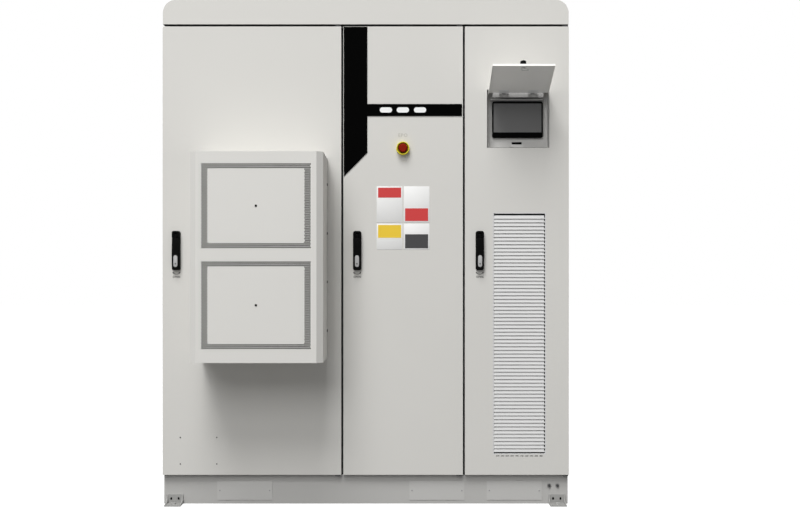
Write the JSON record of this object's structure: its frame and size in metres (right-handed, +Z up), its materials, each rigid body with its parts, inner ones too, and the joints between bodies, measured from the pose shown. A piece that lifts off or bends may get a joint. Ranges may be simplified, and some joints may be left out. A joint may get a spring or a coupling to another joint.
{
  "type": "battery cabinet",
  "caption": "Outdoor battery cabinet with hinged doors, swing handles, a door-mounted cooling unit, a louvre panel, an operator pocket with a lid and a plinth with anchor feet.",
  "frame": {"origin": "on the floor under the middle of the cabinet body, on the underside of the plinth's middle cross-member", "axes": "+X to the viewer's right, +Y into the cabinet from the doors, +Z up"},
  "size_m": [1.85, 1.548, 2.3],
  "materials": {
    "paint": "light grey powder coat, fine texture",
    "plinth_paint": "grey powder coat",
    "dark_steel": "dark powder coat",
    "zinc": "bright zinc",
    "gasket": "foamed rubber",
    "black_handle": "satin black moulding",
    "black_plastic": "matt black",
    "lamp": "frosted white lens",
    "estop_yellow": "yellow moulding",
    "estop_red": "red moulding",
    "screen": "dark display glass",
    "coil": "bare fins",
    "filter": "dark fibre mat",
    "module": "dark moulded case",
    "converter": "grey powder coat"
  },
  "bodies": {
    "cabinet": {"plinth": "plinth_paint", "plinth_covers": "paint", "anchor_brackets": "zinc", "earth_points": "zinc", "front_frame": "dark_steel", "door_gaskets": "gasket", "pivot_brackets": "dark_steel", "side_panels": "paint", "rear_panel": "paint", "rear_posts": "dark_steel", "top_deck": "dark_steel", "roof_cover": "paint", "floor_plate": "dark_steel", "bay_partitions": "dark_steel", "inner_racks": "dark_steel", "battery_modules": "module", "power_converter": "converter", "control_unit": "converter"},
    "left_door": {"left_door_panel": "paint", "left_handle_base": "black_handle", "left_latch_case": "zinc", "cooler_housing": "paint", "cooler_cover": "paint", "fan_ring_plates": "dark_steel", "fan_motors": "black_plastic", "cooler_coil": "coil"},
    "centre_door": {"centre_door_panel": "paint", "centre_handle_base": "black_handle", "centre_latch_case": "zinc", "trim_panel": "black_plastic", "status_lamps": "lamp", "estop_collar": "estop_yellow"},
    "right_door": {"right_door_panel": "paint", "right_handle_base": "black_handle", "right_latch_case": "zinc", "operator_pocket": "paint", "display_unit": "black_plastic", "display_glass": "screen", "lid_hinge_strip": "zinc", "louvre_grille": "paint", "air_filter": "filter"},
    "left_handle_spindle": {"left_handle_spindle": "black_handle"},
    "left_handle_lever": {"left_handle_lever": "black_handle"},
    "left_upper_rod": {"left_upper_rod": "zinc"},
    "left_lower_rod": {"left_lower_rod": "zinc"},
    "centre_handle_spindle": {"centre_handle_spindle": "black_handle"},
    "centre_handle_lever": {"centre_handle_lever": "black_handle"},
    "centre_upper_rod": {"centre_upper_rod": "zinc"},
    "centre_lower_rod": {"centre_lower_rod": "zinc"},
    "right_handle_spindle": {"right_handle_spindle": "black_handle"},
    "right_handle_lever": {"right_handle_lever": "black_handle"},
    "right_upper_rod": {"right_upper_rod": "zinc"},
    "right_lower_rod": {"right_lower_rod": "zinc"},
    "upper_fan": {"upper_fan": "black_plastic"},
    "lower_fan": {"lower_fan": "black_plastic"},
    "estop_stem": {"estop_stem": "zinc"},
    "estop_head": {"estop_head": "estop_red"},
    "pocket_lid": {"pocket_lid": "paint", "lid_hinge_leaves": "zinc"},
    "lid_lock": {"lid_lock": "zinc"}
  },
  "joints": [
    {"name": "left_door_swing", "type": "hinge", "parent": "cabinet", "child": "left_door", "pos_m": [-0.127, -0.585, 1.157], "axis": [0, 0, 1], "range_deg": [0, 90]},
    {"name": "left_handle_turn", "type": "hinge", "parent": "left_door", "child": "left_handle_spindle", "pos_m": [-0.862, -0.606, 1.228], "axis": [0, 1, 0], "range_deg": [0, 90]},
    {"name": "left_handle_tilt", "type": "hinge", "parent": "left_handle_spindle", "child": "left_handle_lever", "pos_m": [-0.862, -0.6155, 1.228], "axis": [-1, 0, 0], "range_deg": [0, 35]},
    {"name": "left_upper_rod_slide", "type": "slide", "parent": "left_door", "child": "left_upper_rod", "axis": [0, 0, -1], "range_m": [0, 0.0201]},
    {"name": "left_lower_rod_slide", "type": "slide", "parent": "left_door", "child": "left_lower_rod", "axis": [0, 0, 1], "range_m": [0, 0.0201]},
    {"name": "centre_door_swing", "type": "hinge", "parent": "cabinet", "child": "centre_door", "pos_m": [0.427, -0.585, 1.157], "axis": [0, 0, 1], "range_deg": [0, 105]},
    {"name": "centre_handle_turn", "type": "hinge", "parent": "centre_door", "child": "centre_handle_spindle", "pos_m": [-0.039, -0.606, 1.228], "axis": [0, -1, 0], "range_deg": [0, 90]},
    {"name": "centre_handle_tilt", "type": "hinge", "parent": "centre_handle_spindle", "child": "centre_handle_lever", "pos_m": [-0.039, -0.6155, 1.228], "axis": [-1, 0, 0], "range_deg": [0, 35]},
    {"name": "centre_upper_rod_slide", "type": "slide", "parent": "centre_door", "child": "centre_upper_rod", "axis": [0, 0, -1], "range_m": [0, 0.0201]},
    {"name": "centre_lower_rod_slide", "type": "slide", "parent": "centre_door", "child": "centre_lower_rod", "axis": [0, 0, 1], "range_m": [0, 0.0201]},
    {"name": "right_door_swing", "type": "hinge", "parent": "cabinet", "child": "right_door", "pos_m": [0.91, -0.585, 1.157], "axis": [0, 0, 1], "range_deg": [0, 120]},
    {"name": "right_handle_turn", "type": "hinge", "parent": "right_door", "child": "right_handle_spindle", "pos_m": [0.519, -0.606, 1.228], "axis": [0, -1, 0], "range_deg": [0, 90]},
    {"name": "right_handle_tilt", "type": "hinge", "parent": "right_handle_spindle", "child": "right_handle_lever", "pos_m": [0.519, -0.6155, 1.228], "axis": [-1, 0, 0], "range_deg": [0, 35]},
    {"name": "right_upper_rod_slide", "type": "slide", "parent": "right_door", "child": "right_upper_rod", "axis": [0, 0, -1], "range_m": [0, 0.0201]},
    {"name": "right_lower_rod_slide", "type": "slide", "parent": "right_door", "child": "right_lower_rod", "axis": [0, 0, 1], "range_m": [0, 0.0201]},
    {"name": "upper_fan_spin", "type": "hinge", "parent": "left_door", "child": "upper_fan", "pos_m": [-0.46125, -0.845, 1.3435], "axis": [0, -1, 0], "continuous": true},
    {"name": "lower_fan_spin", "type": "hinge", "parent": "left_door", "child": "lower_fan", "pos_m": [-0.46125, -0.845, 0.9175], "axis": [0, -1, 0], "continuous": true},
    {"name": "estop_press", "type": "slide", "parent": "centre_door", "child": "estop_stem", "axis": [0, 1, 0], "range_m": [0, 0.005], "stiffness_N_per_m": 1500},
    {"name": "estop_twist", "type": "hinge", "parent": "estop_stem", "child": "estop_head", "pos_m": [0.169, -0.615, 1.622], "axis": [0, -1, 0], "range_deg": [0, 30], "stiffness_Nm_per_rad": 0.1},
    {"name": "pocket_lid_swing", "type": "hinge", "parent": "right_door", "child": "pocket_lid", "pos_m": [0.6936, -0.604, 1.878], "axis": [1, 0, 0], "range_deg": [0, 111]},
    {"name": "lid_lock_turn", "type": "hinge", "parent": "pocket_lid", "child": "lid_lock", "pos_m": [0.6936, -0.81642, 1.95526], "axis": [0, -0.3584, -0.9336], "range_deg": [0, 90]}
  ],
  "couplings": [
    {"joint": "left_upper_rod_slide", "follows": "left_handle_turn", "m_per_rad": 0.012732},
    {"joint": "left_lower_rod_slide", "follows": "left_handle_turn", "m_per_rad": 0.012732},
    {"joint": "centre_upper_rod_slide", "follows": "centre_handle_turn", "m_per_rad": 0.012732},
    {"joint": "centre_lower_rod_slide", "follows": "centre_handle_turn", "m_per_rad": 0.012732},
    {"joint": "right_upper_rod_slide", "follows": "right_handle_turn", "m_per_rad": 0.012732},
    {"joint": "right_lower_rod_slide", "follows": "right_handle_turn", "m_per_rad": 0.012732}
  ]
}
